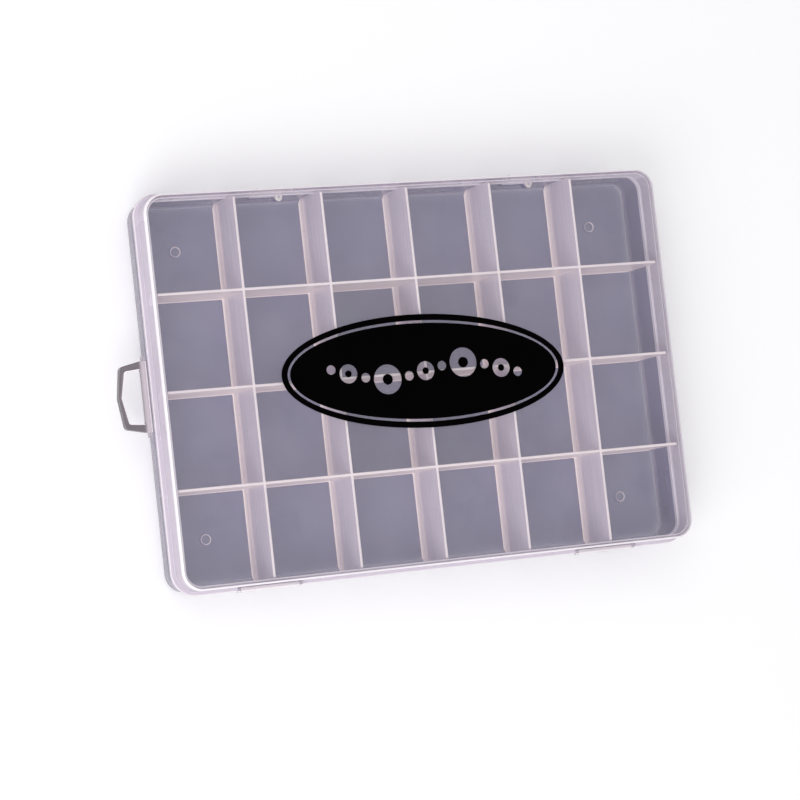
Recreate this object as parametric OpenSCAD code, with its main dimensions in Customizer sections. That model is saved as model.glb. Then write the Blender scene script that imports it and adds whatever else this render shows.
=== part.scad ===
// Flat clear compartment box for beads and other small parts: a tray with a fixed grid
// of dividers, a hinged lid with two front latches, and a hanging loop that folds out.
// X runs along the long side, Y from the latches to the hinges, Z up.
// The origin is the centre of the plane that the feet stand on.

/* [Grid] */
// Distance between divider centres along the long side
column_pitch = 31; // [29:0.5:45]
// Distance between divider centres from front to back
row_pitch = 32; // [29:0.5:45]
// Thickness of a divider at the floor
divider_t = 1.3; // [1:0.1:2]
// Thickness of a divider at its top
divider_top_t = 1; // [0.6:0.1:1.3]
// Height of the dividers above the inside floor
divider_h = 19.2; // [17:0.2:40]

/* [Tray] */
// Thickness of the side walls
wall_t = 1.2; // [1:0.1:2]
// Thickness of the floor
floor_t = 1.2; // [1:0.1:2.5]
// Height of the rim above the inside floor
rim_h = 12.4; // [11:0.2:14]
// Radius of the inside corners, seen from above
corner_r = 5.2; // [4.5:0.1:9]
// Radius of the rounded outside edge round the floor
bottom_r = 2.8; // [1.5:0.1:4.5]
// Radius between the inside of the walls and the floor
inside_r = 1.6; // [0.5:0.1:4]
// Overhang of the rim flange beyond the lid
flange_w = 1.25; // [1.1:0.05:2]
// Thickness of the rim flange
flange_t = 1.5; // [1.2:0.1:2.2]
// Diameter of a foot
foot_d = 3.7; // [2:0.1:8]
// Height of a foot
foot_h = 0.5; // [0.3:0.1:2]

/* [Lid] */
// Step from the tray's outer wall face to the lid's outer face
lid_step = 0.2; // [0:0.05:0.4]
// Thickness of the lid's skirt
skirt_t = 1; // [0.9:0.05:1.2]
// Thickness of the lid's panel
panel_t = 1.2; // [1:0.1:2.5]
// Gap between the divider tops and the panel
lid_gap = 0.4; // [0.2:0.1:1]
// Radius of the rounded edge round the panel
lid_edge_r = 0.9; // [0.3:0.1:0.9]

/* [Hinges] */
// Overall width of a hinge, without the head of its pin
hinge_w = 13.6; // [11:0.2:20]
// Thickness of a hinge lug
lug_t = 1.6; // [1.2:0.1:2.5]
// Diameter of the lugs and of the lid's barrel
knuckle_d = 2; // [1.9:0.05:2.2]
// Diameter of a hinge pin
pin_d = 1; // [0.8:0.05:1.1]
// Diameter of a pin's head
pin_head_d = 1.5; // [1.2:0.1:1.5]
// Thickness of a pin's head
pin_head_t = 0.7; // [0.5:0.1:1.2]
// Height of the hinge axis above the rim
hinge_rise = 0.8; // [0.75:0.05:0.95]
// Height of the pad inside the wall below a hinge
pad_h = 4.4; // [3:0.2:7]
// Thickness of that pad
pad_t = 0.35; // [0.2:0.05:0.8]
// Diameter of the pillar at the end of a pad
pillar_d = 2.5; // [2.2:0.1:3.2]
// Distance from the headed end of a hinge back to the middle of its pillar
pillar_inset = 3.7; // [1.6:0.1:5]

/* [Latches] */
// Width of a latch flap
latch_w = 20.6; // [14:0.2:25]
// Thickness of a latch flap
latch_t = 0.8; // [0.6:0.05:1.2]
// Reach of a latch flap below the rim
latch_drop = 2.6; // [2.4:0.1:4]
// Diameter of a flap's barrel and of its lugs
latch_barrel_d = 1.6; // [1.4:0.05:1.9]
// Diameter of a flap's pivots
latch_pin_d = 0.8; // [0.6:0.05:0.9]
// Thickness of a latch lug
latch_lug_t = 0.9; // [0.7:0.1:1.5]
// Depth of the recess for a flap in the rim flange
latch_recess = 0.3; // [0.2:0.05:0.6]

/* [Hanging loop] */
// Thickness of the loop
loop_t = 2; // [1.6:0.1:2.2]
// Width of the loop along the wall
loop_w = 23.7; // [20:0.1:26]
// Width of the loop at its shoulders
shoulder_w = 20.4; // [19:0.1:22]
// Distance from the loop's pivot to its shoulders
shoulder_reach = 8.4; // [7.4:0.1:9]
// Distance from the loop's pivot to its tip
tip_reach = 9.8; // [9.2:0.1:10.6]
// Width of the loop's two end bars beside the wall
end_bar_w = 3; // [2:0.1:3.6]
// Width of those bars at the shoulders
shoulder_bar_w = 1.9; // [1.4:0.1:2.4]
// Width of the loop's outer bars at the shoulders
outer_bar_w = 1.75; // [1.2:0.05:2]
// Width of the loop's outer bars at the tip
tip_bar_w = 1.4; // [1:0.1:2]
// Width of the bar along the wall, beyond its round edge
inner_bar_w = 0.3; // [0:0.1:0.8]
// Diameter of the loop's pivots
loop_pin_d = 1.2; // [0.8:0.1:1.4]
// Thickness of an ear for the loop
ear_t = 1.2; // [0.9:0.1:2]

/* [Label] */
// Length of the oval label
label_l = 103.4; // [60:0.2:150]
// Width of the oval label
label_w = 38.3; // [24:0.1:60]
// Thickness of the label
label_t = 0.15; // [0.1:0.05:0.4]
// Width of the label's outer band
label_band = 2.1; // [1:0.1:4]
// Width of the clear ring inside the band
label_ring = 1; // [0.6:0.1:3]
// Place of the label's centre along the lid
label_x = -1.1; // [-20:0.1:20]
// Place of the label's centre across the lid
label_y = 0.3; // [-15:0.1:15]
// Turn of the label on the lid, in degrees
label_turn = -2.2; // [-10:0.1:10]

/* [Fits] */
// Radial running clearance of a pivot in its hole
run_play = 0.05; // [0.02:0.01:0.1]
// Radial clearance of a fixed pin in its lugs
pin_play = 0.02; // [0.01:0.01:0.05]
// Gap between parts that turn past each other
swing_gap = 0.2; // [0.15:0.05:0.3]

/* [Hidden] */
$fn = 64;

// Compartments along the long side, and from front to back
columns = 6;
rows = 4;

// How far a cut runs past what it opens
cut = 1;

// Colours of the pieces, the clear ones with their opacity
tray_colour = [0.86, 0.87, 0.93, 0.5];
divider_colour = [0.9, 0.89, 0.93, 0.7];
lid_colour = [0.88, 0.88, 0.95, 0.35];
latch_colour = [0.93, 0.9, 0.93, 0.6];
pin_colour = [0.97, 0.95, 0.95];
loop_colour = [0.7, 0.69, 0.74, 0.8];
label_colour = [0.03, 0.03, 0.04];

// Half of the clear length and depth between the walls
inner_x = (columns * column_pitch - divider_t) / 2;
inner_y = (rows * row_pitch - divider_t) / 2;
// Centres of the rounded corners; the radii below are measured out from them
centre_x = inner_x - corner_r;
centre_y = inner_y - corner_r;
wall_r = corner_r + wall_t;
lid_r = wall_r + lid_step;
flange_r = lid_r + flange_w;

// Heights of the floor, rim, divider tops, panel underside and lid top
floor_z = foot_h + floor_t;
rim_z = floor_z + rim_h;
divider_z = floor_z + divider_h;
panel_z = divider_z + lid_gap;
top_z = panel_z + panel_t;

// The two hinges stand in the middle of the second and the last but one column
hinge_x = (columns / 2 - 1.5) * column_pitch;
hinge_y = centre_y + flange_r - knuckle_d / 2;
hinge_z = rim_z + hinge_rise;
lug_x = (hinge_w - lug_t) / 2;
barrel_l = hinge_w - 2 * (lug_t + swing_gap);
pad_bottom = rim_z - pad_h;
pillar_x = hinge_w / 2 - pillar_inset;
pillar_y = inner_y + wall_t - (pad_t + pillar_d) / 2;

// The two latches stand in front of the first and the last cross divider
latch_x = (columns / 2 - 1) * column_pitch;
latch_y = -(centre_y + lid_r + swing_gap + latch_barrel_d / 2);
latch_z = rim_z + swing_gap + latch_barrel_d / 2;
recess_y = centre_y + flange_r - latch_recess;
flap_y = -(recess_y + swing_gap);
latch_lug_x = latch_w / 2 + swing_gap + latch_lug_t / 2;

// The loop turns about an axis along Y beside the flange on the left
loop_x = -(centre_x + flange_r + swing_gap + loop_t / 2);
loop_z = rim_z - flange_t - loop_t / 2;
ear_y = loop_w / 2 + swing_gap + ear_t / 2;

// A block in the profile plane, rounded at its outer lower corner
module low_rounded(out, high, r) {
    square([out - r, high]);
    translate([0, r]) square([out, high - r]);
    translate([out - r, r]) circle(r);
}

// A block in the profile plane, rounded at its outer upper corner
module high_rounded(out, high, r) {
    square([out - r, high]);
    square([out, high - r]);
    translate([out - r, high - r]) circle(r);
}

// Carries a profile round all four sides and corners of the box
module around() {
    for (turn = [0, 180]) {
        rotate(turn) {
            translate([-centre_x, centre_y, 0]) rotate([90, 0, 90])
                linear_extrude(2 * centre_x) children();
            translate([centre_x, centre_y, 0]) rotate([90, 0, 0])
                linear_extrude(2 * centre_y) children();
            translate([centre_x, centre_y, 0])
                rotate_extrude(angle = 90) children();
            translate([-centre_x, centre_y, 0]) rotate(90)
                rotate_extrude(angle = 90) children();
        }
    }
}

// A round bar along X, centred
module bar_x(d, long) {
    rotate([0, 90, 0]) cylinder(d = d, h = long, center = true);
}

// A round bar along Y, centred
module bar_y(d, long) {
    rotate([90, 0, 0]) cylinder(d = d, h = long, center = true);
}

module tray_profile() {
    difference() {
        low_rounded(wall_r, floor_t + rim_h, bottom_r);
        translate([0, floor_t]) low_rounded(corner_r, rim_h + cut, inside_r);
    }
    translate([corner_r + wall_t / 2, floor_t + rim_h - flange_t])
        square([flange_r - corner_r - wall_t / 2, flange_t]);
}

module tray_shell() {
    translate([0, 0, foot_h]) {
        around() tray_profile();
        translate([-centre_x, -centre_y, 0])
            cube([2 * centre_x, 2 * centre_y, floor_t]);
    }
}

// Feet under the middle of the four corner compartments
module feet() {
    for (sx = [-1, 1], sy = [-1, 1])
        translate([sx * (columns - 1) / 2 * column_pitch,
                   sy * (rows - 1) / 2 * row_pitch, 0])
            cylinder(d = foot_d, h = foot_h + floor_t / 2);
}

// What stands on the tray at one hinge: a pad and a pillar inside the wall, and two lugs
module hinge_seat() {
    pad_y = inner_y - pad_t;
    translate([-hinge_w / 2, pad_y, pad_bottom])
        cube([hinge_w / 2 + pillar_x, pad_t + wall_t / 2, pad_h]);
    translate([pillar_x, pillar_y, pad_bottom]) cylinder(d = pillar_d, h = pad_h);
    for (side = [-1, 1])
        translate([side * lug_x, hinge_y, 0]) {
            translate([0, 0, hinge_z]) bar_x(knuckle_d, lug_t);
            translate([-lug_t / 2, -knuckle_d / 2, rim_z - flange_t])
                cube([lug_t, knuckle_d, hinge_z - rim_z + flange_t]);
        }
}

// What is cut from the tray at one hinge: room for the lid's barrel and the pin's hole
module hinge_cuts() {
    translate([0, hinge_y, hinge_z]) {
        bar_x(knuckle_d + 2 * swing_gap, barrel_l + 2 * swing_gap);
        bar_x(pin_d + 2 * pin_play, hinge_w + 2 * cut);
    }
}

// One ear for the hanging loop, with the pivot's hole
module loop_ear() {
    difference() {
        union() {
            bar_y(loop_t, ear_t);
            translate([0, -ear_t / 2, -loop_t / 2])
                cube([-loop_x - centre_x - wall_r + wall_t / 2, ear_t, loop_t]);
        }
        bar_y(loop_pin_d + 2 * run_play, ear_t + 2 * cut);
    }
}

module tray() {
    color(tray_colour)
        difference() {
            union() {
                tray_shell();
                feet();
                for (side = [-1, 1]) {
                    translate([side * hinge_x, 0, 0]) hinge_seat();
                    translate([loop_x, side * ear_y, loop_z]) loop_ear();
                }
            }
            for (side = [-1, 1]) {
                translate([side * hinge_x, 0, 0]) hinge_cuts();
                translate([side * latch_x - latch_w / 2 - swing_gap,
                           -recess_y - flange_w, rim_z - flange_t - cut])
                    cube([latch_w + 2 * swing_gap, flange_w, flange_t + 2 * cut]);
            }
        }
}

// A divider along X, drawn thinner to its top, with its lower ends rounded into the tray
module divider(half_long) {
    intersection() {
        translate([-half_long, 0, 0]) rotate([90, 0, 90])
            linear_extrude(2 * half_long)
                polygon([[-divider_t / 2, floor_z], [divider_t / 2, floor_z],
                         [divider_top_t / 2, divider_z], [-divider_top_t / 2, divider_z]]);
        translate([0, divider_t, floor_z]) rotate([90, 0, 0])
            linear_extrude(2 * divider_t)
                for (side = [0, 1])
                    mirror([side, 0]) low_rounded(half_long, divider_h, inside_r);
    }
}

module long_divider(index) {
    translate([0, (index - rows / 2) * row_pitch, 0]) divider(inner_x);
}

// A cross divider gives way to the three long ones
module cross_divider(index) {
    color(divider_colour)
        difference() {
            translate([(index - columns / 2) * column_pitch, 0, 0])
                rotate(90) divider(inner_y);
            for (other = [1:rows - 1]) long_divider(other);
        }
}

module long_divider_1() { color(divider_colour) long_divider(1); }
module long_divider_2() { color(divider_colour) long_divider(2); }
module long_divider_3() { color(divider_colour) long_divider(3); }
module cross_divider_1() { cross_divider(1); }
module cross_divider_2() { cross_divider(2); }
module cross_divider_3() { cross_divider(3); }
module cross_divider_4() { cross_divider(4); }
module cross_divider_5() { cross_divider(5); }

module lid_profile() {
    difference() {
        high_rounded(lid_r, top_z - rim_z, lid_edge_r);
        translate([0, -cut]) square([lid_r - skirt_t, panel_z - rim_z + cut]);
    }
}

// Notches in the skirt for the lugs of one hinge, the right one also for the pin's head
module lug_notches() {
    notch_h = hinge_z + knuckle_d / 2 + swing_gap - rim_z;
    notch_w = lug_t + 2 * swing_gap;
    for (side = [-1, 1])
        translate([side * lug_x - notch_w / 2, centre_y + lid_r - 2 * skirt_t, rim_z - cut])
            cube([notch_w + (side + 1) / 2 * pin_head_t, 3 * skirt_t, notch_h + cut]);
}

// Two lugs that carry one latch flap, outside the lid's front skirt
module latch_lugs() {
    reach = -latch_y - centre_y - lid_r + skirt_t / 2;
    for (side = [-1, 1])
        translate([side * latch_lug_x, latch_y, latch_z]) {
            bar_x(latch_barrel_d, latch_lug_t);
            translate([-latch_lug_t / 2, 0, -latch_barrel_d / 2])
                cube([latch_lug_t, reach, latch_barrel_d]);
        }
}

module lid() {
    color(lid_colour)
        difference() {
            union() {
                difference() {
                    union() {
                        translate([0, 0, rim_z]) around() lid_profile();
                        translate([-centre_x, -centre_y, panel_z])
                            cube([2 * centre_x, 2 * centre_y, panel_t]);
                    }
                    for (side = [-1, 1])
                        translate([side * hinge_x, 0, 0]) lug_notches();
                }
                for (side = [-1, 1]) {
                    translate([side * hinge_x, hinge_y, hinge_z])
                        bar_x(knuckle_d, barrel_l);
                    translate([side * latch_x, 0, 0]) latch_lugs();
                }
            }
            for (side = [-1, 1]) {
                translate([side * hinge_x, hinge_y, hinge_z])
                    bar_x(pin_d + 2 * run_play, barrel_l + 2 * cut);
                translate([side * latch_x, latch_y, latch_z])
                    bar_x(latch_pin_d + 2 * run_play,
                          2 * latch_lug_x + latch_lug_t + 2 * cut);
            }
        }
}

// A flap with a barrel along its top, a pivot at each end and a low grip ridge at its foot
module latch_flap() {
    ridge = swing_gap / 2;
    translate([0, latch_y, latch_z]) {
        bar_x(latch_barrel_d, latch_w);
        bar_x(latch_pin_d, 2 * latch_lug_x + latch_lug_t);
    }
    translate([-latch_w / 2, flap_y - latch_t, rim_z - latch_drop]) {
        cube([latch_w, latch_t, latch_z - rim_z + latch_drop]);
        cube([latch_w, latch_t + ridge, (latch_drop - flange_t) / 2]);
    }
}

module latch_left() {
    color(latch_colour) translate([-latch_x, 0, 0]) latch_flap();
}

module latch_right() {
    color(latch_colour) translate([latch_x, 0, 0]) latch_flap();
}

// A pin through both lugs and the barrel, with its head outside the right lug
module hinge_pin() {
    translate([0, hinge_y, hinge_z]) {
        bar_x(pin_d, hinge_w);
        translate([(hinge_w + pin_head_t) / 2, 0, 0]) bar_x(pin_head_d, pin_head_t);
    }
}

module hinge_pin_left() {
    color(pin_colour) translate([-hinge_x, 0, 0]) hinge_pin();
}

module hinge_pin_right() {
    color(pin_colour) translate([hinge_x, 0, 0]) hinge_pin();
}

// A five-sided outline that runs out from the pivot axis towards negative X
module five_sided(start, wide, reach, shoulder, tip) {
    polygon([[-start, wide / 2], [-reach, shoulder / 2], [-tip, 0],
             [-reach, -shoulder / 2], [-start, -wide / 2]]);
}

module loop_outline() {
    difference() {
        five_sided(0, loop_w, shoulder_reach, shoulder_w, tip_reach);
        five_sided(loop_t / 2 + inner_bar_w, loop_w - 2 * end_bar_w,
                   shoulder_reach - outer_bar_w, shoulder_w - 2 * shoulder_bar_w,
                   tip_reach - tip_bar_w);
    }
}

module hanging_loop() {
    color(loop_colour)
        translate([loop_x, 0, loop_z]) {
            bar_y(loop_t, loop_w);
            bar_y(loop_pin_d, 2 * ear_y + ear_t);
            translate([0, 0, -loop_t / 2]) linear_extrude(loop_t) loop_outline();
        }
}

module ellipse(long, wide) {
    steps = 80;
    polygon([for (i = [0:steps - 1])
        [long / 2 * cos(360 * i / steps), wide / 2 * sin(360 * i / steps)]]);
}

// A black oval with a clear ring set in from its edge
module oval_label() {
    inset = label_band + label_ring;
    color(label_colour)
        translate([label_x, label_y, top_z]) rotate(label_turn)
            linear_extrude(label_t) {
                difference() {
                    ellipse(label_l, label_w);
                    ellipse(label_l - 2 * label_band, label_w - 2 * label_band);
                }
                ellipse(label_l - 2 * inset, label_w - 2 * inset);
            }
}

tray();
long_divider_1();
long_divider_2();
long_divider_3();
cross_divider_1();
cross_divider_2();
cross_divider_3();
cross_divider_4();
cross_divider_5();
lid();
oval_label();
latch_left();
latch_right();
hinge_pin_left();
hinge_pin_right();
hanging_loop();
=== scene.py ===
"""Looks of a flat clear compartment box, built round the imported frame.

Shapes are worked out in millimetres in the frame's own axes, and every mesh is made in metres.
"""
import math

import bmesh
import bpy
from mathutils import Matrix, Vector


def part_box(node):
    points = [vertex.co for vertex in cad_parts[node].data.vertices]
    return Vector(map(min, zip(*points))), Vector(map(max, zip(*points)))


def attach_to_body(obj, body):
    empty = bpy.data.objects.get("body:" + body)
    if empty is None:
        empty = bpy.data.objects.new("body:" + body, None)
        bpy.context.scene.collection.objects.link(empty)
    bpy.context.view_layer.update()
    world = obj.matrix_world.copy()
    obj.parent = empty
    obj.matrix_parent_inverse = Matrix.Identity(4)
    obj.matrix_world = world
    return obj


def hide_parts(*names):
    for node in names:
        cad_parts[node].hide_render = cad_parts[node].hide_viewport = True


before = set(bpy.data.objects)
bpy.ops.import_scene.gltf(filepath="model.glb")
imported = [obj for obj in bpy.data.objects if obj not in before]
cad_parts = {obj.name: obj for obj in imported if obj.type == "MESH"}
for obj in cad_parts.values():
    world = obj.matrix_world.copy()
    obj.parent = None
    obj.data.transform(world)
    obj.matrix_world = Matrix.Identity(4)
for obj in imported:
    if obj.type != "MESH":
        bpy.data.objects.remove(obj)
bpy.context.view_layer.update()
MM = 0.001


def box_mm(node):
    """Lowest and highest corner of a CAD node, in millimetres."""
    low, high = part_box(node)
    return low / MM, high / MM


# ---------------------------------------------------------------- sizes, from the frame

_, LID_HIGH = box_mm("lid")
LONG_LOW, LONG_HIGH = box_mm("long_divider_1")
CROSS_LOW, CROSS_HIGH = box_mm("cross_divider_1")
FLOOR_Z = LONG_LOW.z
DIVIDER_Z = LONG_HIGH.z
TOP_Z = LID_HIGH.z
LID_X = LID_HIGH.x
INNER_X = LONG_HIGH.x
INNER_Y = CROSS_HIGH.y
DIVIDER_T = CROSS_HIGH.x - CROSS_LOW.x
CROSS_X = [sum(c.x for c in box_mm(f"cross_divider_{i}")) / 2 for i in range(1, 6)]
LONG_Y = [sum(c.y for c in box_mm(f"long_divider_{i}")) / 2 for i in range(1, 4)]
SIDES = ("left", "right")

# Sizes that the boxes of the nodes don't give: tray
CORNER_R = 5.2
WALL_T = 1.2
BOTTOM_R = 2.8
INSIDE_R = 1.6
RIM_H = 12.4
FLANGE_T = 1.5
FLANGE_OUT = 2.65
DIVIDER_TOP_T = 0.9
FOOT_H = 0.5
FOOT_D = 3.7
FOOT_AT = (77.5, 48.0)
# The dish over each foot: points out from the foot's side and up from the floor
DISH = ((-0.8, -0.45), (-0.35, -0.35), (-0.05, -0.1), (0.1, 0.05), (0.1, 1.0))
# Lid
SKIRT_T = 1.0
PANEL_T = 1.2
LID_EDGE_R = 0.9
# Hinges
HINGE_W = 13.6
LUG_T = 1.6
KNUCKLE_D = 2.0
PIN_D = 1.0
PAD_H = 4.4
PAD_T = 0.35
PILLAR_D = 2.5
PILLAR_INSET = 3.7
SWING_GAP = 0.2
PIN_PLAY = 0.04
BARREL_GAP = 0.05
HEAD_CHAMFER = 0.05
# The dome of a pin's head: share of the head's radius, and place from its end
DOME = ((1.0, -0.25), (0.8, -0.06), (0.45, 0.0))
# The bright ring on each hinge pillar: points out from the pillar's side and up from the rim
EYE = ((-0.2, -1.1), (0.02, -0.9), (0.02, -0.3), (-0.15, -0.08), (-0.4, 0.0), (-0.7, -0.1), (-0.9, -0.5))
EYE_STRETCH = 1.3
# Latches
LATCH_W = 20.6
LATCH_T = 0.8
LATCH_BARREL_D = 1.6
LATCH_PIN_D = 0.8
LATCH_PIN_PLAY = 0.1
LATCH_LUG_T = 0.9
LATCH_RECESS = 0.3
RIDGE = 0.1
RIDGE_H = 0.55
# Hanging loop
LOOP_T = 2.0
LOOP_W = 23.7
LOOP_PIN_D = 1.2
SHOULDER_W = 20.4
SHOULDER_REACH = 8.4
END_BAR_W = 3.0
SHOULDER_BAR_W = 1.9
OUTER_BAR_W = 1.75
TIP_BAR_W = 1.4
INNER_BAR_W = 0.3
EAR_T = 1.2
OUTER_CORNERS_R = (0.6, 1.7, 2.2, 1.7, 0.6)
HOLE_CORNERS_R = (0.5, 0.8, 1.2, 0.8, 0.5)
LOOP_EDGE = 0.08
HOLE_FLARE = 0.5
BAR_CHAMFER = 0.25
# Label
LABEL_AT = (-1.1, 0.3)
LABEL_TURN = math.radians(-2.2)
LABEL_L = 103.4
LABEL_W = 38.3
LABEL_BAND = 2.1
LABEL_RING = 0.9
BEADS_R = (1.6, 3.2, 1.6, 5.0, 1.6, 3.2, 1.6, 5.0, 1.6, 3.2, 1.6)
BEAD_GAP = 1.3
BEAD_HOLE = 0.36
WAVE_H = 2.4
WAVE_L = 9.0

# Worked out from the sizes above; radii are measured from the centres of the box's corners
CENTRE_X = INNER_X - CORNER_R
CENTRE_Y = INNER_Y - CORNER_R
WALL_R = CORNER_R + WALL_T
LID_R = LID_X - CENTRE_X
FLANGE_R = CORNER_R + FLANGE_OUT
RIM_Z = FLOOR_Z + RIM_H
PANEL_Z = TOP_Z - PANEL_T

# Small roundings of moulded edges, how deep joined shapes sink into each other, and how far a cutting
# shape runs past what it cuts
EDGE_R = 0.3
FINE_R = 0.15
SINK = 0.4
CUT = 1.0
# Faces that meet at more than this many degrees keep a sharp edge
SHARP_ANGLE = 35.0


# ---------------------------------------------------------------- mesh helpers

def arc(x, z, r, start, end, steps):
    """Points of an arc in the profile plane, angles in degrees."""
    angles = [math.radians(start + (end - start) * k / steps) for k in range(steps + 1)]
    return [(x + r * math.cos(a), z + r * math.sin(a)) for a in angles]


def rounded_ring(half_x, half_y, r, z, steps, centre=(0.0, 0.0)):
    """A rounded rectangle at height z; half_x and half_y reach to its sides."""
    points = []
    for sx, sy, start in ((1, 1, 0), (-1, 1, 90), (-1, -1, 180), (1, -1, 270)):
        for x, y in arc(centre[0] + sx * (half_x - r), centre[1] + sy * (half_y - r), r,
                        start, start + 90, steps):
            points.append((x, y, z))
    return points


def box_ring(out, z, steps=12):
    """A ring round the box; out is measured from the centres of its corners."""
    return rounded_ring(CENTRE_X + out, CENTRE_Y + out, out, z, steps)


def loft(bm, rings):
    """A closed skin over rings of points, with a flat cap at each end."""
    rows = [[bm.verts.new(p) for p in ring] for ring in rings]
    for low, high in zip(rows, rows[1:]):
        for k in range(len(low)):
            n = (k + 1) % len(low)
            bm.faces.new((low[k], low[n], high[n], high[k]))
    bm.faces.new(rows[0][::-1])
    bm.faces.new(rows[-1])


def on_axis(along, u, v, s):
    """The point at s on an axis, and at u and v on the other two in their order."""
    return {"x": (s, u, v), "y": (u, s, v), "z": (u, v, s)}[along]


def prism(bm, outline, along, start, end):
    """Pulls a closed outline of points (u, v) along an axis."""
    loft(bm, [[on_axis(along, u, v, s) for u, v in outline] for s in (start, end)])


def turned(bm, along, centre, profile, steps=32):
    """A turned shape: profile lists (radius, place along the axis)."""
    loft(bm, [[on_axis(along, centre[0] + u, centre[1] + v, s)
               for u, v in arc(0, 0, r, 0, 360, steps)[:-1]] for r, s in profile])


def rod(bm, along, centre, d, start, end, steps=24):
    turned(bm, along, centre, [(d / 2, start), (d / 2, end)], steps)


def block(bm, low, high):
    outline = [(low[0], low[1]), (high[0], low[1]), (high[0], high[1]), (low[0], high[1])]
    prism(bm, outline, "z", low[2], high[2])


def make(name, build, sharp_angle=SHARP_ANGLE):
    """A mesh object in metres from a function that fills a bmesh in millimetres."""
    bm = bmesh.new()
    build(bm)
    bmesh.ops.recalc_face_normals(bm, faces=bm.faces)
    bmesh.ops.scale(bm, vec=(MM, MM, MM), verts=bm.verts)
    mesh = bpy.data.meshes.new(name)
    bm.to_mesh(mesh)
    bm.free()
    obj = bpy.data.objects.new(name, mesh)
    bpy.context.scene.collection.objects.link(obj)
    shade(obj, sharp_angle)
    return obj


def shade(obj, sharp_angle):
    """Smooth shading, kept sharp where faces meet at more than the angle in degrees."""
    mesh = obj.data
    mesh.polygons.foreach_set("use_smooth", [True] * len(mesh.polygons))
    mesh.set_sharp_from_angle(angle=math.radians(sharp_angle))


def settle(obj):
    """Applies the object's modifiers to its mesh."""
    evaluated = obj.evaluated_get(bpy.context.evaluated_depsgraph_get())
    mesh = bpy.data.meshes.new_from_object(evaluated)
    obj.modifiers.clear()
    old, obj.data = obj.data, mesh
    bpy.data.meshes.remove(old)


def combine(obj, build, operation):
    """Joins shapes to an object, or cuts them from it. They may not touch one another."""
    tool = make(obj.name + "_tool", build)
    modifier = obj.modifiers.new("combine", "BOOLEAN")
    modifier.operation = operation
    modifier.solver = "EXACT"
    modifier.object = tool
    settle(obj)
    bpy.data.objects.remove(tool)


def round_edges(obj, width, angle=60.0):
    """Rounds the edges where faces meet at more than the angle in degrees."""
    modifier = obj.modifiers.new("round", "BEVEL")
    modifier.width = width * MM
    modifier.segments = 2
    modifier.limit_method = "ANGLE"
    modifier.angle_limit = math.radians(angle)
    modifier.use_clamp_overlap = True
    settle(obj)


def finish_shape(obj):
    """Cleans a finished mesh and lets its large flat faces keep flat normals."""
    bm = bmesh.new()
    bm.from_mesh(obj.data)
    bmesh.ops.remove_doubles(bm, verts=bm.verts, dist=0.001 * MM)
    bmesh.ops.dissolve_degenerate(bm, edges=bm.edges, dist=0.001 * MM)
    bm.to_mesh(obj.data)
    bm.free()
    shade(obj, SHARP_ANGLE)
    weighted = obj.modifiers.new("weighted_normals", "WEIGHTED_NORMAL")
    weighted.keep_sharp = True
    weighted.weight = 100


# ---------------------------------------------------------------- dividers, one lattice

BASE_FILLET = 0.3
CROSSING_R = 0.3
LATTICE_GAP = 0.01
RIM_GAP = 0.1
TOP_CORNER_R = 1.0
PAST_WALL = 4.0


def lattice_block(bm):
    """The block that the compartments are cut from, just clear of the floor and the walls."""
    end = CORNER_R - LATTICE_GAP
    past_rim = CORNER_R - RIM_GAP
    outline = arc(end - INSIDE_R, FLOOR_Z + LATTICE_GAP + INSIDE_R, INSIDE_R, -90, 0, 6)
    outline += [(end, RIM_Z - EDGE_R), (past_rim, RIM_Z + EDGE_R)]
    outline += arc(past_rim - TOP_CORNER_R, DIVIDER_Z - TOP_CORNER_R, TOP_CORNER_R, 0, 90, 4)
    loft(bm, [box_ring(out, z) for out, z in outline])


def pocket_profile():
    """Distance from a divider's middle to the compartment's side, with the height of each point."""
    foot_half = DIVIDER_T / 2 + BASE_FILLET
    top_half = DIVIDER_TOP_T / 2 - EDGE_R
    foot = arc(foot_half, FLOOR_Z + BASE_FILLET, -BASE_FILLET, 90, 0, 4)
    top = arc(top_half, DIVIDER_Z - EDGE_R, EDGE_R, 0, 90, 3)
    return [(foot_half, FLOOR_Z - SINK)] + foot + top + [(top_half, DIVIDER_Z + SINK)]


def pockets(bm):
    """All 24 compartments as solids, the outer ones running out past the wall."""
    edges_x = [-INNER_X - PAST_WALL] + CROSS_X + [INNER_X + PAST_WALL]
    edges_y = [-INNER_Y - PAST_WALL] + LONG_Y + [INNER_Y + PAST_WALL]
    for x0, x1 in zip(edges_x, edges_x[1:]):
        for y0, y1 in zip(edges_y, edges_y[1:]):
            rings = []
            for gap, z in pocket_profile():
                low = (x0 + gap * (x0 in CROSS_X), y0 + gap * (y0 in LONG_Y))
                high = (x1 - gap * (x1 in CROSS_X), y1 - gap * (y1 in LONG_Y))
                centre = ((low[0] + high[0]) / 2, (low[1] + high[1]) / 2)
                rings.append(rounded_ring((high[0] - low[0]) / 2, (high[1] - low[1]) / 2,
                                          CROSSING_R, z, 3, centre))
            loft(bm, rings)


def make_lattice():
    lattice = make("divider_lattice", lattice_block)
    combine(lattice, pockets, "DIFFERENCE")
    finish_shape(lattice)
    return lattice


# ---------------------------------------------------------------- the tray's shell

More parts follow.
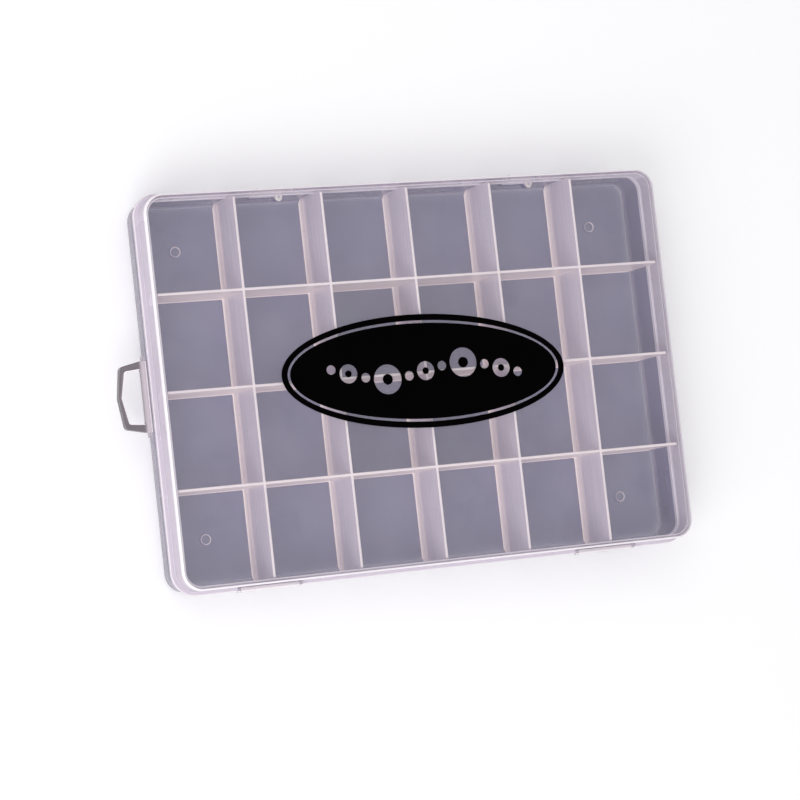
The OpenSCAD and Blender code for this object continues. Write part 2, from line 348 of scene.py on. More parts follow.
def tray_profile():
    """From the middle of the underside out, over the flange and down to the inside floor."""
    return (
        arc(WALL_R - BOTTOM_R, FOOT_H + BOTTOM_R, BOTTOM_R, -90, 0, 8)
        + arc(WALL_R + EDGE_R, RIM_Z - FLANGE_T - EDGE_R, EDGE_R, 180, 90, 3)
        + arc(FLANGE_R - EDGE_R, RIM_Z - FLANGE_T + EDGE_R, EDGE_R, -90, 0, 3)
        + arc(FLANGE_R - EDGE_R, RIM_Z - EDGE_R, EDGE_R, 0, 90, 3)
        + arc(CORNER_R + EDGE_R, RIM_Z - EDGE_R, EDGE_R, 90, 180, 3)
        + arc(CORNER_R - INSIDE_R, FLOOR_Z + INSIDE_R, INSIDE_R, 0, -90, 8)
    )


def tray_shell(bm):
    loft(bm, [box_ring(out, z) for out, z in tray_profile()])


def at_feet():
    return [(sx * FOOT_AT[0], sy * FOOT_AT[1]) for sx in (-1, 1) for sy in (-1, 1)]


def feet(bm):
    r = FOOT_D / 2
    for place in at_feet():
        turned(bm, "z", place, [(r - EDGE_R, 0.0), (r, EDGE_R), (r, FLOOR_Z - SINK)])


def foot_dimples(bm):
    """A shallow dish in the floor above each foot."""
    for place in at_feet():
        turned(bm, "z", place, [(FOOT_D / 2 + out, FLOOR_Z + up) for out, up in DISH])


def hinge_places():
    """The two ends and the axis (y, z) of each hinge, from its pin."""
    for side in SIDES:
        low, high = box_mm(f"hinge_pin_{side}")
        yield low.x, low.x + HINGE_W, ((low.y + high.y) / 2, (low.z + high.z) / 2)


def pillar_at(x1):
    """Place x and y of the pillar at the right end of a hinge."""
    return x1 - PILLAR_INSET, INNER_Y + WALL_T - (PAD_T + PILLAR_D) / 2


def hinge_pads(bm):
    for x0, x1, _ in hinge_places():
        block(bm, (x0, INNER_Y - PAD_T, RIM_Z - PAD_H),
              (x1 - PILLAR_INSET, INNER_Y + SINK, RIM_Z - EDGE_R))


def hinge_pillars(bm):
    for _, x1, _ in hinge_places():
        rod(bm, "z", pillar_at(x1), PILLAR_D, RIM_Z - PAD_H, RIM_Z - FINE_R)


def hinge_lugs(bm):
    """Rounded lugs that stand on the flange round the hinge axis."""
    r = KNUCKLE_D / 2
    low = RIM_Z - FLANGE_T / 2
    for x0, x1, (y, z) in hinge_places():
        top = arc(y - FINE_R, z, r, 0, 180, 12)
        outline = [(y + r - FINE_R, low)] + top + [(y - r - FINE_R, low)]
        for start in (x0, x1 - LUG_T):
            prism(bm, outline, "x", start, start + LUG_T)


def barrel_room(bm):
    """Room in the flange for the lid's barrels to turn."""
    for x0, x1, (y, z) in hinge_places():
        rod(bm, "x", (y, z), KNUCKLE_D + 2 * SWING_GAP, x0 + LUG_T, x1 - LUG_T)


def pin_holes(bm):
    for x0, x1, (y, z) in hinge_places():
        rod(bm, "x", (y, z), PIN_D + PIN_PLAY, x0 - CUT, x1 + CUT)


def latch_recesses(bm):
    half = LATCH_W / 2 + SWING_GAP
    edge = -(CENTRE_Y + FLANGE_R) + LATCH_RECESS
    for side in SIDES:
        middle = latch_middle(side)
        block(bm, (middle - half, edge - 2 * CUT, RIM_Z - FLANGE_T - CUT),
              (middle + half, edge, RIM_Z + CUT))


def loop_axis():
    """Place x and z of the loop's pivot, and the reach of its ends along y."""
    low, high = box_mm("hanging_loop")
    return high.x - LOOP_T / 2, (low.z + high.z) / 2, high.y


def loop_ears(bm):
    """Two ears under the flange, each round about the loop's pivot."""
    x, z, reach = loop_axis()
    r = LOOP_T / 2 - FINE_R
    root = -CENTRE_X - WALL_R + SINK
    for side in (-1, 1):
        outline = [(root, z - r), (root, z + r)] + arc(x, z, r, 90, 270, 12)
        prism(bm, outline, "y", *sorted((side * reach, side * (reach - EAR_T))))


def make_tray():
    tray = make("tray_moulding", tray_shell)
    for part in (feet, hinge_pads, hinge_pillars, hinge_lugs, loop_ears):
        combine(tray, part, "UNION")
    for part in (foot_dimples, latch_recesses, barrel_room, pin_holes):
        combine(tray, part, "DIFFERENCE")
    finish_shape(tray)
    return tray


def make_hinge_eye(side, x1):
    """The bright ring that closes the top of a hinge pillar, drawn longer across the rim."""
    x, y = pillar_at(x1)

    def ring(r, z):
        return [(x + u, y + v * EYE_STRETCH, z) for u, v in arc(0, 0, r, 0, 360, 28)[:-1]]

    def build(bm):
        loft(bm, [ring(PILLAR_D / 2 + out, RIM_Z + up) for out, up in EYE])

    return make(f"hinge_eye_{side}", build, sharp_angle=80)


# ---------------------------------------------------------------- the lid

SEAT_GAP = 0.03
PANEL_FILLET = 0.8


def lid_profile():
    inner = LID_R - SKIRT_T
    low = RIM_Z + SEAT_GAP
    return (
        arc(LID_R - LID_EDGE_R, TOP_Z - LID_EDGE_R, LID_EDGE_R, 90, 0, 8)
        + arc(LID_R - FINE_R, low + FINE_R, FINE_R, 0, -90, 2)
        + arc(inner + FINE_R, low + FINE_R, FINE_R, -90, -180, 2)
        + arc(inner - PANEL_FILLET, PANEL_Z - PANEL_FILLET, PANEL_FILLET, 0, 90, 5)
    )


def lid_shell(bm):
    loft(bm, [box_ring(out, z) for out, z in lid_profile()])


def lug_notches(bm):
    """Notches in the skirt for the tray's lugs and the heads of the pins."""
    outer = CENTRE_Y + LID_R
    low, high = box_mm("hinge_pin_left")
    head_l = high.x - low.x - HINGE_W
    for x0, x1, (_, z) in hinge_places():
        top = z + KNUCKLE_D / 2 + SWING_GAP
        for start, end in ((x0, x0 + LUG_T), (x1 - LUG_T, x1 + head_l)):
            block(bm, (start - SWING_GAP, outer - 2 * SKIRT_T, RIM_Z - CUT),
                  (end + SWING_GAP, outer + SKIRT_T, top))


def barrels(bm):
    for x0, x1, centre in hinge_places():
        rod(bm, "x", centre, KNUCKLE_D - BARREL_GAP,
            x0 + LUG_T + SWING_GAP, x1 - LUG_T - SWING_GAP)


def latch_middle(side):
    low, high = box_mm(f"latch_{side}")
    return (low.x + high.x) / 2


def latch_axis(side):
    """Depth and height of a latch's pivot: its barrel's top is the flap's highest point."""
    _, high = box_mm(f"latch_{side}")
    return high.y - LATCH_BARREL_D / 2, high.z - LATCH_BARREL_D / 2


def latch_lugs(bm):
    r = LATCH_BARREL_D / 2
    back = -(CENTRE_Y + LID_R) + SKIRT_T / 2
    for side in SIDES:
        y, z = latch_axis(side)
        outline = [(back, z - r), (back, z + r)] + arc(y, z, r, 90, 270, 12)
        for way in (-1, 1):
            inner_end = latch_middle(side) + way * (LATCH_W / 2 + SWING_GAP)
            prism(bm, outline, "x", *sorted((inner_end, inner_end + way * LATCH_LUG_T)))


def latch_pin_holes(bm):
    for side in SIDES:
        low, high = box_mm(f"latch_{side}")
        rod(bm, "x", latch_axis(side), LATCH_PIN_D + LATCH_PIN_PLAY, low.x - CUT, high.x + CUT, 16)


def make_lid():
    lid = make("lid_shell", lid_shell)
    combine(lid, lug_notches, "DIFFERENCE")
    combine(lid, barrels, "UNION")
    combine(lid, latch_lugs, "UNION")
    combine(lid, pin_holes, "DIFFERENCE")
    combine(lid, latch_pin_holes, "DIFFERENCE")
    finish_shape(lid)
    return lid


# ---------------------------------------------------------------- latches, pins and loop

def make_latch(side):
    low, high = box_mm(f"latch_{side}")
    middle = latch_middle(side)
    y, z = latch_axis(side)
    r = LATCH_BARREL_D / 2
    outer, inner = low.y, low.y + LATCH_T

    def flap(bm):
        """Barrel, flap and grip ridge in one outline, whose two ends stay a hair apart."""
        hair = 0.01
        outline = [(outer, z), (outer, low.z + EDGE_R), (outer + EDGE_R, low.z),
                   (inner, low.z), (inner + RIDGE, low.z + RIDGE),
                   (inner + RIDGE, low.z + RIDGE_H - RIDGE), (inner, low.z + RIDGE_H)]
        join = math.degrees(math.acos((inner - y) / r))
        outline += arc(y, z, r, -join, 180, 14)[:-1]
        outline += [(y - r, z + hair)]
        prism(bm, outline, "x", middle - LATCH_W / 2, middle + LATCH_W / 2)

    def pivots(bm):
        rod(bm, "x", (y, z), LATCH_PIN_D, low.x, high.x, 16)

    latch = make(f"latch_flap_{side}", flap)
    round_edges(latch, FINE_R)
    combine(latch, pivots, "UNION")
    finish_shape(latch)
    return latch


def make_pin(side):
    """A pin with a domed head at its right end."""
    low, high = box_mm(f"hinge_pin_{side}")
    centre = ((low.y + high.y) / 2, (low.z + high.z) / 2)
    head = (high.z - low.z) / 2
    neck = low.x + HINGE_W
    profile = [(PIN_D / 2 - FINE_R, low.x), (PIN_D / 2, low.x + FINE_R), (PIN_D / 2, neck),
               (head - HEAD_CHAMFER, neck), (head, neck + FINE_R)]
    profile += [(head * share, high.x + along) for share, along in DOME]
    return make(f"pin_{side}", lambda bm: turned(bm, "x", centre, profile, 24))


def rounded_outline(corners, steps=5):
    """A closed outline whose corners (x, y, radius) are rounded."""
    points = []
    for k, (x, y, r) in enumerate(corners):
        here = Vector((x, y))
        before = (Vector(corners[k - 1][:2]) - here).normalized()
        after = (Vector(corners[(k + 1) % len(corners)][:2]) - here).normalized()
        half = before.angle(after) / 2
        centre = here + (before + after).normalized() * (r / math.sin(half))
        a = here + before * (r / math.tan(half)) - centre
        b = here + after * (r / math.tan(half)) - centre
        turn = a.angle_signed(b)
        for s in range(steps + 1):
            c = -turn * s / steps
            points.append((centre.x + a.x * math.cos(c) - a.y * math.sin(c),
                           centre.y + a.x * math.sin(c) + a.y * math.cos(c)))
    return points


def make_loop():
    low, _ = box_mm("hanging_loop")
    x, z, reach = loop_axis()
    tip = x - low.x
    r = LOOP_T / 2

    def five(start, wide, shoulder_reach, shoulder, tip_reach, radii, grow=0.0):
        """A five-sided outline from the pivot outwards, with every side moved out by grow."""
        start, wide, shoulder = start - grow, wide + 2 * grow, shoulder + 2 * grow
        shoulder_reach, tip_reach = shoulder_reach + grow, tip_reach + grow
        corners = [(x - start, wide / 2), (x - shoulder_reach, shoulder / 2), (x - tip_reach, 0),
                   (x - shoulder_reach, -shoulder / 2), (x - start, -wide / 2)]
        return rounded_outline([(u, v, radius) for (u, v), radius in zip(corners, radii)])

    def plate_ring(place, grow):
        outline = five(r * 0.5, LOOP_W, SHOULDER_REACH, SHOULDER_W, tip, OUTER_CORNERS_R, grow)
        return [(u, v, place) for u, v in outline]

    def hole_ring(place, grow):
        outline = five(r + INNER_BAR_W, LOOP_W - 2 * END_BAR_W, SHOULDER_REACH - OUTER_BAR_W,
                       SHOULDER_W - 2 * SHOULDER_BAR_W, tip - TIP_BAR_W, HOLE_CORNERS_R, grow)
        return [(u, v, place) for u, v in outline]

    def plate(bm):
        part = LOOP_EDGE * 0.3
        loft(bm, [plate_ring(z - r, -LOOP_EDGE), plate_ring(z - r + part, -part),
                  plate_ring(z - r + LOOP_EDGE, 0), plate_ring(z + r - LOOP_EDGE, 0),
                  plate_ring(z + r - part, -part), plate_ring(z + r, -LOOP_EDGE)])

    def hole(bm):
        """The hole opens out towards both faces in a broad rounding."""
        angles = [math.radians(22.5 * k) for k in range(5)]
        flare = [(HOLE_FLARE * (1 - math.sin(a)), HOLE_FLARE * (1 - math.cos(a))) for a in angles]
        low_side = [hole_ring(z - r - SINK, HOLE_FLARE)]
        low_side += [hole_ring(z - r + rise, out) for out, rise in flare]
        high_side = [hole_ring(z + r - rise, out) for out, rise in flare[::-1]]
        high_side += [hole_ring(z + r + SINK, HOLE_FLARE)]
        loft(bm, low_side + high_side)

    def bar(bm):
        end = LOOP_W / 2
        turned(bm, "y", (x, z), [(r - BAR_CHAMFER, -end), (r, BAR_CHAMFER - end),
                                 (r, end - BAR_CHAMFER), (r - BAR_CHAMFER, end)])

    def pivots(bm):
        rod(bm, "y", (x, z), LOOP_PIN_D, -reach, reach, 16)

    loop = make("loop_frame", plate)
    combine(loop, hole, "DIFFERENCE")
    combine(loop, bar, "UNION")
    combine(loop, pivots, "UNION")
    finish_shape(loop)
    return loop


# ---------------------------------------------------------------- the label

def ellipse_points(long, wide, steps=160):
    return [(long / 2 * math.cos(math.tau * k / steps), wide / 2 * math.sin(math.tau * k / steps))
            for k in range(steps)]


def circle_points(x, y, r, steps=40):
    return arc(x, y, r, 0, 360, steps)[:-1]


def bead_row():
    """Closed outlines of a generic motif: beads of three sizes on a gently waved thread.

    All but the smallest beads have a hole.
    """
    outlines = []
    x = -sum(BEADS_R) - BEAD_GAP * (len(BEADS_R) - 1) / 2
    for r in BEADS_R:
        x += r
        y = WAVE_H * math.sin(x / WAVE_L)
        outlines.append(circle_points(x, y, r))
        if r > min(BEADS_R):
            outlines.append(circle_points(x, y, r * BEAD_HOLE))
        x += r + BEAD_GAP
    return outlines


def make_label():
    low, high = box_mm("oval_label")
    inset = LABEL_BAND + LABEL_RING
    shapes = [ellipse_points(LABEL_L, LABEL_W),
              ellipse_points(LABEL_L - 2 * LABEL_BAND, LABEL_W - 2 * LABEL_BAND),
              ellipse_points(LABEL_L - 2 * inset, LABEL_W - 2 * inset)] + bead_row()
    curve = bpy.data.curves.new("label_outline", "CURVE")
    curve.dimensions = "2D"
    curve.fill_mode = "BOTH"
    curve.extrude = (high.z - low.z) / 2 * MM
    for points in shapes:
        spline = curve.splines.new("POLY")
        spline.points.add(len(points) - 1)
        for target, (u, v) in zip(spline.points, points):
            target.co = (u * MM, v * MM, 0, 1)
        spline.use_cyclic_u = True
    flat = bpy.data.objects.new("label_outline", curve)
    bpy.context.scene.collection.objects.link(flat)
    evaluated = flat.evaluated_get(bpy.context.evaluated_depsgraph_get())
    mesh = bpy.data.meshes.new_from_object(evaluated)
    place = Vector((LABEL_AT[0], LABEL_AT[1], (low.z + high.z) / 2)) * MM
    mesh.transform(Matrix.Translation(place) @ Matrix.Rotation(LABEL_TURN, 4, "Z"))
    bpy.data.objects.remove(flat)
    label = bpy.data.objects.new("label_vinyl_oval", mesh)
    bpy.context.scene.collection.objects.link(label)
    finish_shape(label)
    return label


# ---------------------------------------------------------------- materials

class Nodes:
    """A short way to write a material's node tree."""

    def __init__(self, name):
        self.material = bpy.data.materials.new(name)
        self.material.use_nodes = True
        self.tree = self.material.node_tree
        self.tree.nodes.clear()
        self.output = self.tree.nodes.new("ShaderNodeOutputMaterial")
        self.coords = self.tree.nodes.new("ShaderNodeTexCoord")
        self.place = self.add("ShaderNodeSeparateXYZ", {0: self.coords.outputs["Object"]})
        self.facing = self.add("ShaderNodeSeparateXYZ", {0: self.coords.outputs["Normal"]})

    def set(self, socket, value):
        if isinstance(value, bpy.types.NodeSocket):
            self.tree.links.new(value, socket)
        else:
            socket.default_value = value

    def add(self, kind, inputs=(), **settings):
        node = self.tree.nodes.new(kind)
        for key, value in settings.items():
            setattr(node, key, value)
        for key, value in dict(inputs).items():
            self.set(node.inputs[key], value)
        return node

    def maths(self, operation, a, b=0.0, clamp=False):
        node = self.add("ShaderNodeMath", {0: a, 1: b}, operation=operation, use_clamp=clamp)
        return node.outputs[0]

    def times(self, a, b):
        return self.maths("MULTIPLY", a, b)

    def ramp(self, value, low, high, to_low=0.0, to_high=1.0):
        """A smooth step from to_low to to_high while the value goes from low to high."""
        node = self.add("ShaderNodeMapRange", {"Value": value, "From Min": low, "From Max": high,
                                               "To Min": to_low, "To Max": to_high},
                        interpolation_type="SMOOTHSTEP")
        return node.outputs[0]

    def above(self, z, soft=0.2):
        """0 below the height z, in millimetres, and 1 above it."""
        return self.ramp(self.place.outputs["Z"], (z - soft) * MM, z * MM)

    def below(self, z, soft=0.2):
        """1 below the height z, in millimetres, and 0 above it."""
        return self.ramp(self.place.outputs["Z"], z * MM, (z + soft) * MM, 1.0, 0.0)

    def blend(self, share, a, b):
        """a where share is 0, b where it is 1; each is a colour or a number."""
        if isinstance(b, tuple) or getattr(b, "type", "") == "RGBA":
            return self.add("ShaderNodeMix", {0: share, 6: a, 7: b}, data_type="RGBA").outputs[2]
        return self.add("ShaderNodeMix", {0: share, 2: a, 3: b}, data_type="FLOAT").outputs[0]

    def noise(self, scale, detail=3.0, stretch=(1, 1, 1)):
        mapped = self.add("ShaderNodeMapping", {"Vector": self.coords.outputs["Object"],
                                                "Scale": stretch})
        node = self.add("ShaderNodeTexNoise", {"Vector": mapped.outputs[0], "Scale": scale,
                                               "Detail": detail})
        return node.outputs["Fac"]

    def zones(self):
        """How far a face stands upright, and how near it is to the middle of a rounded edge."""
        square = self.times(self.facing.outputs["Z"], self.facing.outputs["Z"])
        standing = self.maths("SUBTRACT", 1.0, square, clamp=True)
        edge = self.ramp(self.times(square, standing), 0.01, 0.19)
        return standing, edge

    def outward(self):
        """1 on faces that look away from the middle of the box, 0 on those that look in."""
        dot = self.add("ShaderNodeVectorMath", {0: self.coords.outputs["Normal"],
                                                1: self.coords.outputs["Object"]},
                       operation="DOT_PRODUCT")
        return self.ramp(dot.outputs["Value"], -0.005, 0.005)

    def bump(self, height, strength, distance):
        node = self.add("ShaderNodeBump", {"Height": height, "Strength": strength, "Distance": distance})
        return node.outputs[0]

    def shader(self, **sockets):
        shader = self.add("ShaderNodeBsdfPrincipled")
        for key, value in sockets.items():
            self.set(shader.inputs[key.replace("_", " ")], value)
        return shader.outputs[0]

    def finish(self, surface):
        self.tree.links.new(surface, self.output.inputs["Surface"])
        return self.material


def rgb(r, g, b):
    """A colour given as it looks, from 0 to 255, in the linear values that shaders take."""
    def linear(c):
        c /= 255
        return c / 12.92 if c <= 0.04045 else ((c + 0.055) / 1.055) ** 2.4
    return (linear(r), linear(g), linear(b), 1.0)


def clear_plastic(n, looks, streaks=0.0, rough=(0.16, 0.3), painted_glow=0.0):
    """Moulded plastic whose looks follow a list of (share, colour, alpha), each over the one before.

    The last argument is painted light: the strength of a cream emission that makes the plastic glow,
    though it is no lamp.
    """
    _, colour, alpha = looks[0]
    for share, over_colour, over_alpha in looks[1:]:
        colour = n.blend(share, colour, over_colour)
        alpha = n.blend(share, alpha, over_alpha)
    cloud = n.noise(55.0, 2.0)
    alpha = n.maths("MULTIPLY", alpha, n.ramp(cloud, 0.3, 0.7, 0.96, 1.04), clamp=True)
    if streaks:
        lines = n.ramp(n.noise(1.0, 2.0, (30, 30, 1500)), 0.3, 0.7, 1 - streaks, 1 + streaks)
        alpha = n.maths("MULTIPLY", alpha, lines, clamp=True)
    wave = n.maths("ADD", cloud, n.times(n.noise(900.0, 2.0), 0.05))
    # Painted glow: a cream emission whose strength is the last argument
    return n.finish(n.shader(Base_Color=colour, Alpha=alpha, IOR=1.49,
                             Roughness=n.ramp(cloud, 0.3, 0.7, *rough),
                             Emission_Color=rgb(255, 240, 244), Emission_Strength=painted_glow,
                             Normal=n.bump(wave, 0.4, 0.00008)))


def tray_plastic():
    """Clear with a smoke-lilac tint, paler on the rim, partly as painted light, with painted highlights
    as bright lines at its fine edges.
    """
    n = Nodes("tray_plastic")
    standing, edge = n.zones()
    facing_up = n.ramp(n.facing.outputs["Z"], -0.1, 0.1)
    # Paler rim: partly painted light that lifts the flange out of the shade of the lid's skirt
    rim = n.above(RIM_Z - FLANGE_T, 0.1)
    flange_x = CENTRE_X + FLANGE_R
    ears = n.ramp(n.place.outputs["X"], (-flange_x - 0.1) * MM, (0.4 - flange_x) * MM, 1.0, 0.0)
    ears = n.times(ears, n.below(RIM_Z - FLANGE_T - 0.1, 0.1))
    # Painted highlight: a lighter line along the rounded foot of the walls
    wall_foot_highlight = n.times(n.times(edge, facing_up), n.below(FLOOR_Z + 0.2))
    # Painted highlight: a bright ring on the steep sides of the dish over each foot
    dish = n.times(facing_up, n.times(n.above(FLOOR_Z - 0.5), n.below(FLOOR_Z - 0.1, 0.1)))
    dimple_highlight = n.times(dish, n.ramp(standing, 0.02, 0.3))
    return clear_plastic(n, [
        (1.0, rgb(96, 87, 146), 0.36),
        (standing, rgb(126, 119, 150), 0.72),
        (n.times(standing, n.outward()), rgb(188, 182, 197), 0.45),
        # Painted highlight at the foot of the walls
        (wall_foot_highlight, rgb(170, 162, 180), 0.5),
        # Painted highlight round each dish
        (dimple_highlight, rgb(246, 234, 238), 0.85),
        # Paler rim and flange side, partly painted light
        (rim, rgb(234, 224, 238), 0.68),
        (n.times(rim, standing), rgb(236, 228, 240), 0.75),
        (ears, rgb(192, 186, 198), 0.5),
        # Painted highlight: white along the rounded top edges of the rim
        (n.times(n.times(edge, rim), facing_up), rgb(250, 240, 246), 0.9)])


def divider_plastic():
    """Milky and warmer on the faces along the box, with a painted cream highlight along each foot, a
    painted glow that is faint all over and stronger along each foot, and painted highlights in white on
    the tops.
    """
    n = Nodes("divider_plastic")
    sideways = n.times(n.facing.outputs["Y"], n.facing.outputs["Y"])
    # Painted highlight and painted glow: cream along the foot of each divider
    foot = n.times(n.below(FLOOR_Z + 0.6, 2.2), n.ramp(sideways, 0.3, 0.8, 1.0, 0.25))
    return clear_plastic(n, [
        (1.0, rgb(229, 220, 232), 0.58),
        (sideways, rgb(240, 228, 230), 0.6),
        (foot, rgb(250, 237, 232), 0.8),
        # Painted highlight: white along the tops of the dividers
        (n.above(DIVIDER_Z - 0.05, 0.2), rgb(250, 238, 239), 0.92)],
        # Painted glow: faint all over, stronger along each foot
        streaks=0.06, rough=(0.3, 0.45), painted_glow=n.blend(foot, 0.07, 0.22))


def lid_plastic():
    """Almost clear on top and milky in the skirt, with painted highlights in white at its edges and the
    ends of the skirt, and a few scuffs.

    The rounded edge of its right side, turned from the light, has a grey line of painted shade.
    """
    n = Nodes("lid_plastic")
    standing, edge = n.zones()
    scuffs = n.ramp(n.noise(260.0, 1.0, (1.0, 9.0, 1.0)), 0.70, 0.78, 0.0, 0.5)
    facing_x, facing_y, _ = n.facing.outputs
    # Painted shade and light on the skirt's inner faces: greyer, and lighter again where they face the
    # front
    inside = n.maths("SUBTRACT", 1.0, n.outward())
    inside_back_painted_light = n.times(inside, n.ramp(facing_y, -0.8, -0.6, 1.0, 0.0))
    # Painted shade: a grey line on the rounded edge where it turns right, away from the light
    far_side_painted_shade = n.times(n.ramp(facing_x, 0.66, 0.76), n.ramp(facing_x, 0.92, 0.97, 1.0, 0.0))
    # Painted highlights: white bands at the foot and the top of the skirt
    skirt_end_highlights = n.maths("MAXIMUM", n.below(RIM_Z + 0.35, 0.4), n.above(TOP_Z - 1.2, 0.6))
    return clear_plastic(n, [
        (1.0, rgb(190, 188, 208), 0.07),
        (scuffs, rgb(225, 220, 230), 0.25),
        (standing, rgb(238, 228, 242), 0.6),
        # Painted shade: the skirt's inner faces greyer
        (n.times(standing, inside), rgb(206, 197, 209), 0.78),
        # Painted light: inner faces that face the front lighter
        (n.times(standing, inside_back_painted_light), rgb(232, 224, 234), 0.85),
        (n.times(standing, skirt_end_highlights), rgb(254, 248, 254), 0.9),
        # Painted highlight: white along the rounded edges
        (edge, rgb(254, 248, 254), 0.95),
        # Painted shade on the right side's rounded edge
        (n.times(far_side_painted_shade, n.above(TOP_Z - LID_EDGE_R)), rgb(136, 128, 134), 0.95)])


def latch_plastic():
    """Milky, with painted highlights in white at its edges."""
    n = Nodes("latch_plastic")
    _, edge = n.zones()
    # Painted highlight: white along the rounded edges
    return clear_plastic(n, [(1.0, rgb(244, 237, 243), 0.72), (edge, rgb(252, 247, 250), 0.9)])


def loop_plastic():
    """Grey in the thick plate, pale in the bar along the wall, with painted highlights and a painted
    glow in white round the hole and down the bar's side that faces the wall.
    """
    n = Nodes("loop_plastic")
    standing, edge = n.zones()
    x, _, _ = loop_axis()
    along = n.place.outputs["X"]
    bar = n.ramp(along, (x - 1.9) * MM, (x - 0.6) * MM)
    # Painted highlight: white round the hole's rounded edge
    hole_edge_highlight = n.times(edge, n.ramp(along, (x - 1.8) * MM, (x - 1.5) * MM, 1.0, 0.0))
    # Painted highlight: white down the side of the bar that faces the wall
    wall_side_highlight = n.times(bar, n.ramp(n.facing.outputs["X"], 0.3, 0.6))
    # Painted glow: an emission along both painted highlights
    glow = n.maths("ADD", n.times(hole_edge_highlight, 0.3), n.times(wall_side_highlight, 0.35))
    return clear_plastic(n, [
        (1.0, rgb(118, 110, 117), 0.8),
        (standing, rgb(98, 91, 98), 0.97),
        (hole_edge_highlight, rgb(254, 250, 253), 0.95),
        (bar, rgb(212, 202, 210), 0.8),
        (wall_side_highlight, rgb(252, 246, 252), 0.95)], painted_glow=glow)


def solid_plastic(name, colour, rough, depth, specular, grain=700.0):
    """A solid plastic with faint grain, depth in metres, and small changes of tone."""
    n = Nodes(name)
    dark = tuple(c * 0.82 for c in colour[:3]) + (1.0,)
    return n.finish(n.shader(Base_Color=n.blend(n.ramp(n.noise(120.0), 0.35, 0.65), colour, dark),
                             Roughness=n.ramp(n.noise(grain, 2.0), 0.3, 0.7, *rough),
                             Specular_IOR_Level=specular, Normal=n.bump(n.noise(grain), 0.3, depth)))


# ---------------------------------------------------------------- putting it together

def attach(obj, body, slot, material, *nodes):
    """Gives an object its material and body, and hides the CAD nodes that it stands in for; the slot is
    not used.
    """
    obj.data.materials.clear()
    obj.data.materials.append(material)
    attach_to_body(obj, body)
    if nodes:
        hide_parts(*nodes)


CROSSES = [f"cross_divider_{i}" for i in range(1, 6)]
LONGS = [f"long_divider_{i}" for i in range(1, 4)]
attach(make_tray(), "tray", "clear_plastic", tray_plastic(), "tray")
attach(make_lattice(), "tray", "milky_plastic", divider_plastic(), *LONGS, *CROSSES)
attach(make_lid(), "lid", "lid_plastic", lid_plastic(), "lid")
label_material = solid_plastic("label_vinyl", (0.0012, 0.001, 0.0012, 1.0),
                               rough=(0.5, 0.65), depth=0.00002, specular=0.01)
attach(make_label(), "lid", "label_vinyl", label_material, "oval_label")
latch_material = latch_plastic()
pin_material = solid_plastic("pin_plastic", rgb(254, 248, 242),
                             rough=(0.3, 0.45), depth=0.00003, specular=0.5)
for side in SIDES:
    attach(make_latch(side), f"latch_{side}", "latch_plastic", latch_material, f"latch_{side}")
    attach(make_pin(side), "tray", "pin_plastic", pin_material, f"hinge_pin_{side}")
for side, (_, hinge_end, _) in zip(SIDES, hinge_places()):
    attach(make_hinge_eye(side, hinge_end), "tray", "pin_plastic", pin_material)
attach(make_loop(), "hanging_loop", "loop_plastic", loop_plastic(), "hanging_loop")


# ---------------------------------------------------------------- floor, light and camera

FLOOR_HALF = 3000.0
FLOOR_GAP = 0.02
FLOOR_GLOW = 0.2
# The photograph's camera, in metres and as directions
CAMERA_AT = Vector((-0.38554, -0.06399, 0.88230))
CAMERA_RIGHT = Vector((0.9139, -0.1105, 0.3907))
CAMERA_FORWARD = Vector((0.3984, 0.0586, -0.9153))
CAMERA_SHIFT = (-0.00027, 0.00014)
LENS = 126.66


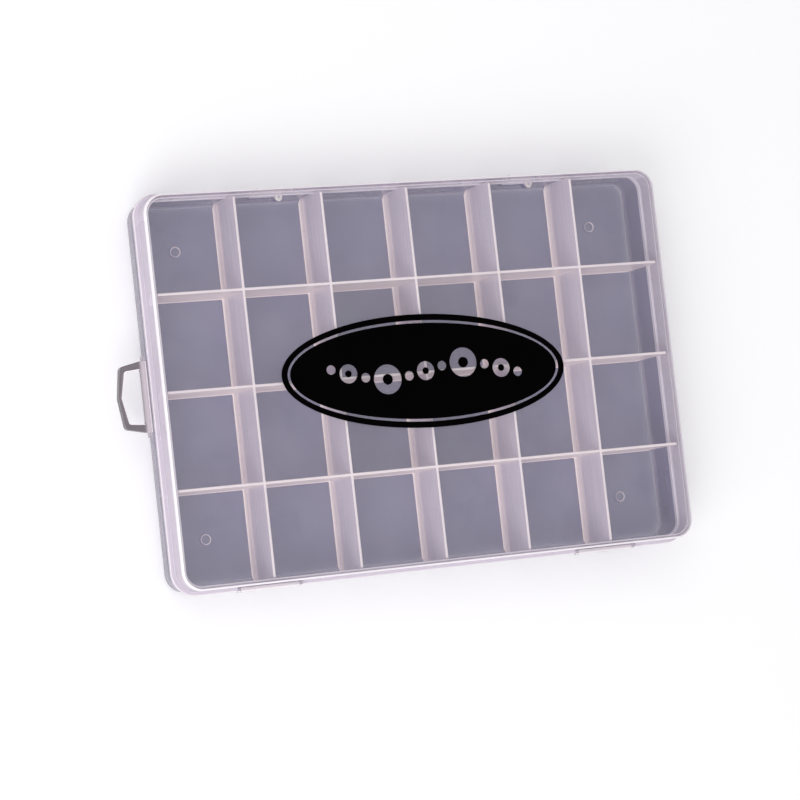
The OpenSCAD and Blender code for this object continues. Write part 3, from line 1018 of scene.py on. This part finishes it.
def make_floor():
    """A pale floor a hair below the feet: near white to the camera, with shadows, clear from below."""
    def plane(bm):
        corners = [(sx * FLOOR_HALF, sy * FLOOR_HALF) for sx, sy in ((-1, -1), (1, -1), (1, 1), (-1, 1))]
        bm.faces.new([bm.verts.new((x, y, -FLOOR_GAP)) for x, y in corners])

    floor = make("floor", plane)
    n = Nodes("floor_paper")
    rays = n.add("ShaderNodeLightPath").outputs
    seen = n.maths("ADD", n.maths("ADD", rays["Is Camera Ray"], rays["Is Glossy Ray"]),
                   rays["Is Transmission Ray"], clamp=True)
    glow = n.add("ShaderNodeEmission", {"Color": (1, 1, 1, 1), "Strength": n.times(seen, FLOOR_GLOW)})
    paper = n.shader(Base_Color=rgb(240, 239, 242), Roughness=0.9, Specular_IOR_Level=0.1)
    both = n.add("ShaderNodeAddShader", {0: paper, 1: glow.outputs[0]})
    below = n.add("ShaderNodeNewGeometry").outputs["Backfacing"]
    clear = n.add("ShaderNodeBsdfTransparent").outputs[0]
    floor.data.materials.append(n.finish(n.add(
        "ShaderNodeMixShader", {0: below, 1: both.outputs[0], 2: clear}).outputs[0]))


def lamp(name, at, size, power):
    """A square area light that faces the box."""
    light = bpy.data.lights.new(name, "AREA")
    light.size = size
    light.energy = power
    obj = bpy.data.objects.new(name, light)
    obj.location = at
    obj.rotation_euler = (-Vector(at)).to_track_quat("-Z", "Y").to_euler()
    bpy.context.scene.collection.objects.link(obj)


def light_scene():
    """A plain white world, a soft key light from the front left and a weak fill from behind."""
    world = bpy.data.worlds.new("studio")
    world.use_nodes = True
    background = world.node_tree.nodes["Background"]
    background.inputs["Color"].default_value = (1.0, 1.0, 1.0, 1.0)
    background.inputs["Strength"].default_value = 0.6
    bpy.context.scene.world = world
    lamp("key", at=(-0.65, -0.55, 0.68), size=0.8, power=6.0)
    lamp("fill", at=(-0.6, 1.0, 1.2), size=1.2, power=4.0)


def make_camera():
    """The photograph's camera, moved a little to the left and up so that the outlines meet."""
    forward = CAMERA_FORWARD.normalized()
    up = CAMERA_RIGHT.normalized().cross(forward).normalized()
    right = forward.cross(up)
    place = CAMERA_AT + right * CAMERA_SHIFT[0] + up * CAMERA_SHIFT[1]
    camera = bpy.data.objects.new("camera", bpy.data.cameras.new("camera"))
    camera.data.sensor_width = 36.0
    camera.data.lens = LENS
    camera.matrix_world = Matrix.Translation(place) @ Matrix(
        (right, up, -forward)).transposed().to_4x4()
    bpy.context.scene.collection.objects.link(camera)
    bpy.context.scene.camera = camera


make_floor()
light_scene()
make_camera()
bpy.context.scene.view_settings.view_transform = "Standard"
# A ray crosses many clear faces of the closed box
bpy.context.scene.cycles.transparent_max_bounces = 48
